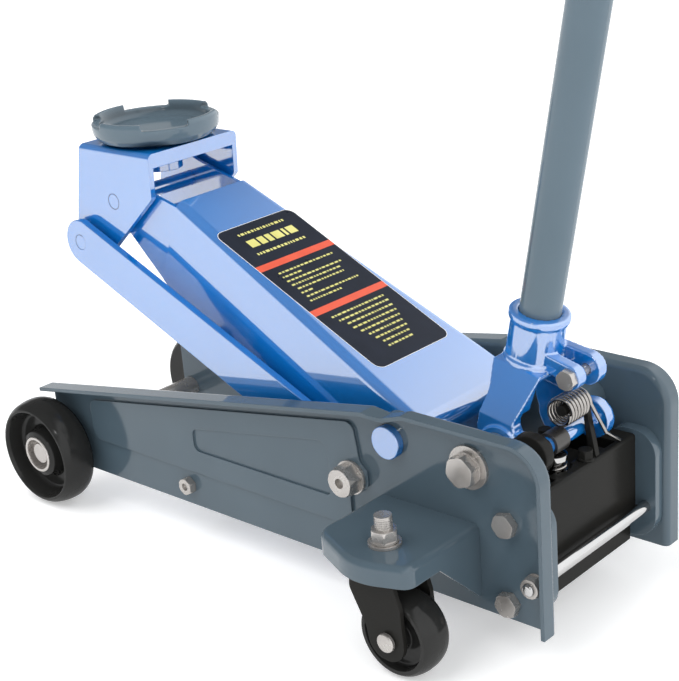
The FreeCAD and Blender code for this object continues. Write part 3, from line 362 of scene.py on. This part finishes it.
def decal():
    place = arm_place()
    white = plain("decal_border", (0.78, 0.79, 0.80), (0.84, 0.85, 0.86), 0.35)
    navy = plain("decal_panel", (0.010, 0.013, 0.022), (0.014, 0.018, 0.030), 0.32, 40.0, specular=0.12)
    orange = plain("decal_band", (0.66, 0.075, 0.030), (0.72, 0.090, 0.038), 0.35)
    yellow = plain("decal_strip", (0.62, 0.58, 0.16), (0.70, 0.66, 0.22), 0.4)
    border = rounded_rectangle(0, DECAL_LENGTH, -DECAL_HALF - BORDER, DECAL_HALF + BORDER, BORDER_R)
    panel = rounded_rectangle(BORDER, DECAL_LENGTH - BORDER, -DECAL_HALF, DECAL_HALF, PANEL_R)
    bands = [rectangle(u, u + BAND_WIDTH, -DECAL_HALF, DECAL_HALF) for u in BAND_STARTS]
    layers = [
        ("decal_border", white, BORDER_LOW, PANEL_LOW, [border]),
        ("decal_panel", navy, PANEL_LOW, PRINT_LOW, [panel]),
        ("decal_bands", orange, PRINT_LOW, PRINT_HIGH, bands),
        ("decal_strips", yellow, PRINT_LOW, PRINT_HIGH, decal_strips()),
    ]
    for name, material, low, high, shapes in layers:
        bm = bmesh.new()
        for points in shapes:
            add_plate(bm, points, low, high, place)
        make_object(name, bm, material, "arm")


decal()


# ---------------------------------------------------------------- castings
CASTING_VOXEL = 1.0 * MM
LOBE_REACH = 21.0 * MM
LOBE_SIDE = -30.0 * MM


def on_left_lobe(point):
    """Whether a point is on the left roller lobe, which is black."""
    x, _, z = JOINTS["roller_spin"]["pos_m"]
    return point.y < LOBE_SIDE and math.hypot(point.x - x, point.z - z) < LOBE_REACH


def casting(name, nodes, body, blackened=None):
    """One soft-edged casting made from the CAD nodes' shapes, with blended corners."""
    bm = bmesh.new()
    for node in nodes:
        bm.from_mesh(frame["nodes"][node].data)
    source = link_object(name + "_rough", mesh_from(name + "_rough", bm))
    remesh = source.modifiers.new("remesh", "REMESH")
    remesh.mode = "VOXEL"
    remesh.voxel_size = CASTING_VOXEL
    remesh.use_smooth_shade = True
    soften = source.modifiers.new("soften", "SMOOTH")
    soften.factor = 0.5
    soften.iterations = 5
    shaped = source.evaluated_get(bpy.context.evaluated_depsgraph_get())
    mesh = bpy.data.meshes.new_from_object(shaped)
    bpy.data.objects.remove(source)
    mesh.materials.clear()
    mesh.materials.append(frame["nodes"][nodes[0]].material_slots[0].material)
    if blackened:
        mesh.materials.append(MATERIALS["black_paint"])
        for polygon in mesh.polygons:
            polygon.material_index = int(blackened(polygon.center))
    piece = link_object(name, mesh)
    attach(piece, body)
    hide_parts(*nodes)


casting("socket_casting", ["handle_socket", "socket_yoke"], "socket", on_left_lobe)
casting("saddle_casting", ["saddle"], "saddle")


# ---------------------------------------------------------------- threads
STUD_R = 8.0 * MM
PITCH = 2.0 * MM
RIDGE_HEIGHT = 0.25 * MM
RIDGE_SINK = 0.1 * MM
RIDGE_HALF = 0.45 * PITCH
TURN_STEPS = 24
NUT_CLEARANCE = 0.6 * MM
STUD_CHAMFER = 1.2 * MM


def thread(name, x, y, start, end):
    """A rolled screw thread: a helical ridge round an upright stud, from height `start` to `end`.
    It starts at the stud's front, where the angle is half a turn."""
    count = int((end - start) / PITCH * TURN_STEPS)
    root = STUD_R - RIDGE_SINK
    bm = bmesh.new()
    rows = []
    for k in range(count + 1):
        angle = math.pi + 2 * math.pi * k / TURN_STEPS
        middle = start + PITCH * k / TURN_STEPS
        crest = STUD_R + RIDGE_HEIGHT * min(1.0, k / TURN_STEPS, (count - k) / TURN_STEPS)
        profile = [(root, -RIDGE_HALF), (crest, 0.0), (root, RIDGE_HALF)]
        rows.append([bm.verts.new((x + r * math.cos(angle), y + r * math.sin(angle), middle + offset))
                     for r, offset in profile])
    for one, two in zip(rows, rows[1:]):
        for i in range(3):
            j = (i + 1) % 3
            bm.faces.new((one[i], one[j], two[j], two[i]))
    bm.faces.new(rows[0])
    bm.faces.new(list(reversed(rows[-1])))
    bmesh.ops.recalc_face_normals(bm, faces=bm.faces)
    make_object(name, bm, MATERIALS["zinc_steel"], "chassis", smooth=True)


def stud_threads():
    """Threads on both caster studs, from just above the nuts to the studs' chamfered tops."""
    stud_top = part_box("caster_studs")[1][2]
    nut_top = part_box("caster_nuts")[1][2]
    for side in ("left", "right"):
        x, y, _ = JOINTS["caster_" + side + "_swivel"]["pos_m"]
        thread("stud_thread_" + side, x, y, nut_top + NUT_CLEARANCE, stud_top - STUD_CHAMFER)


stud_threads()


# ---------------------------------------------------------------- seams round the head's pins
PIN_R = 8.0 * MM
SEAM_INNER = PIN_R - 0.15 * MM
SEAM_OUTER = PIN_R + 0.45 * MM
SEAM_LIFT = 0.06 * MM
SEAM_STEPS = 48


def seam_ring(name, x, y, z, out, material):
    """A flat ring round a pin's end on the face at y, lifted to the side of `out`."""
    profile = [(SEAM_INNER, 0.0), (SEAM_INNER, SEAM_LIFT), (SEAM_OUTER, SEAM_LIFT), (SEAM_OUTER, 0.0)]
    angles = [2 * math.pi * k / SEAM_STEPS for k in range(SEAM_STEPS)]
    bm = bmesh.new()
    rings = [[bm.verts.new((x + r * math.cos(angle), y + out * lift, z + r * math.sin(angle)))
              for angle in angles] for r, lift in profile]
    for i in range(4):
        one, two = rings[i], rings[(i + 1) % 4]
        for k in range(SEAM_STEPS):
            m = (k + 1) % SEAM_STEPS
            bm.faces.new((one[k], one[m], two[m], two[k]))
    bmesh.ops.recalc_face_normals(bm, faces=bm.faces)
    make_object(name, bm, material, "head")


def seam_rings():
    """The dark hairline between each pressed-in pin and the face around it."""
    dark = plain("seam_shadow", (0.012, 0.02, 0.04), (0.018, 0.028, 0.05), 0.6, edge=0.02 * MM)
    for node, carrier in [("head_pin", "saddle_bracket"), ("link_head_pin", "link_head_pin")]:
        low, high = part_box(node)
        face_low, face_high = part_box(carrier)
        x, z = (low[0] + high[0]) / 2, (low[2] + high[2]) / 2
        for side, y, out in [("left", face_low[1], -1), ("right", face_high[1], 1)]:
            seam_ring("seam_" + node + "_" + side, x, y, z, out, dark)


seam_rings()


# ---------------------------------------------------------------- floor and sky
FLOOR_HALF = 30.0
FLOOR_DROP = 0.2 * MM
FLOOR_GLOW = 0.35
SKY_TINT = (0.97, 0.985, 1.0, 1.0)
SKY_DARK = 0.24
SKY_BRIGHT = 1.7
BRIGHT_SIDE = (0.8, 0.45, -0.4)
BRIGHT_FROM, BRIGHT_FULL = -0.22, 0.02    # cosine to the bright side where its light begins and is full
HORIZON_BRIGHT = 1.25
HORIZON_FULL, HORIZON_END = 0.06, 0.24    # sine of the elevation over which the horizon's light fades


def studio_floor():
    bm = bmesh.new()
    bmesh.ops.create_grid(bm, x_segments=1, y_segments=1, size=FLOOR_HALF)
    floor = link_object("floor", mesh_from("floor", bm))
    floor.location.z = -FLOOR_DROP
    mat, nodes, links, bsdf = new_material("studio_floor")
    grain = noise(nodes, links, 2.0)
    tint = blend_colours(nodes, links, grain, (0.84, 0.84, 0.84), (0.86, 0.86, 0.86))
    links.new(tint, bsdf.inputs["Base Color"])
    bsdf.inputs["Roughness"].default_value = 0.9
    bsdf.inputs["Specular IOR Level"].default_value = 0.0
    bsdf.inputs["Emission Color"].default_value = WHITE
    bsdf.inputs["Emission Strength"].default_value = FLOOR_GLOW
    floor.data.materials.append(mat)


def studio_sky():
    """A dim sky with one bright side and a bright horizon, which the paint reflects."""
    world = bpy.data.worlds.new("studio")
    bpy.context.scene.world = world
    world.use_nodes = True
    nodes, links = world.node_tree.nodes, world.node_tree.links
    coord = nodes.new("ShaderNodeTexCoord")
    toward = nodes.new("ShaderNodeVectorMath")
    toward.operation = "DOT_PRODUCT"
    toward.inputs[1].default_value = Vector(BRIGHT_SIDE).normalized()
    links.new(coord.outputs["Generated"], toward.inputs[0])
    side = level(nodes, links, toward.outputs["Value"], BRIGHT_FROM, BRIGHT_FULL, SKY_DARK, SKY_BRIGHT)
    parts = nodes.new("ShaderNodeSeparateXYZ")
    links.new(coord.outputs["Generated"], parts.inputs["Vector"])
    horizon = level(nodes, links, parts.outputs["Z"], HORIZON_FULL, HORIZON_END, HORIZON_BRIGHT, SKY_DARK)
    larger = nodes.new("ShaderNodeMath")
    larger.operation = "MAXIMUM"
    links.new(side, larger.inputs[0])
    links.new(horizon, larger.inputs[1])
    nodes["Background"].inputs["Color"].default_value = SKY_TINT
    links.new(larger.outputs["Value"], nodes["Background"].inputs["Strength"])


studio_floor()
studio_sky()


# ---------------------------------------------------------------- lamps
SUN_POWER = 2.1
SUN_FROM = (-1.2, -1.6, 3.0)
SUN_ANGLE = 60.0
SPARK_POWER = 6.0
SPARK_FROM = (0.9, -2.2, 2.2)
SPARK_SIZE = 0.22


def lamp(name, kind, energy, position, target):
    data = bpy.data.lights.new(name, kind)
    data.energy = energy
    obj = link_object(name, data)
    obj.location = position
    obj.rotation_euler = (Vector(target) - Vector(position)).to_track_quat("-Z", "Y").to_euler()
    return obj


def lamps():
    """A wide sun that lights but isn't reflected, and a small lamp that only leaves sparks on gloss."""
    sun = lamp("sun", "SUN", SUN_POWER, SUN_FROM, (0, 0, 0))
    sun.data.angle = math.radians(SUN_ANGLE)
    sun.visible_glossy = False
    spark = lamp("spark_left", "AREA", SPARK_POWER, SPARK_FROM, (0, 0, 0.2))
    spark.data.shape = "SQUARE"
    spark.data.size = SPARK_SIZE
    spark.visible_diffuse = False


lamps()


# ---------------------------------------------------------------- camera
LENS_MM = 80.685
SHIFT_X, SHIFT_Y = -0.1049, 0.0616
AZIMUTH, ELEVATION, ROLL = (math.radians(angle) for angle in (41.153, 22.229, -3.742))
CAMERA_AT = (0.9572, -1.0260, 0.7470)


def camera():
    """Long lens from behind the jack's left rear corner, a little above the handle socket."""
    data = bpy.data.cameras.new("camera")
    data.sensor_width = 36.0
    data.lens = LENS_MM
    data.shift_x = SHIFT_X
    data.shift_y = SHIFT_Y
    data.clip_end = 100.0
    level_reach = math.cos(ELEVATION)
    back = Vector((math.sin(AZIMUTH) * level_reach, -math.cos(AZIMUTH) * level_reach, math.sin(ELEVATION)))
    right = (-back).cross(Vector((0, 0, 1))).normalized()
    up = right.cross(-back)
    tilted_right = right * math.cos(ROLL) + up * math.sin(ROLL)
    tilted_up = up * math.cos(ROLL) - right * math.sin(ROLL)
    matrix = Matrix((tilted_right, tilted_up, back)).transposed().to_4x4()
    matrix.translation = Vector(CAMERA_AT)
    obj = link_object("camera", data)
    obj.matrix_world = matrix
    bpy.context.scene.camera = obj


camera()
bpy.context.scene.view_settings.view_transform = "Standard"
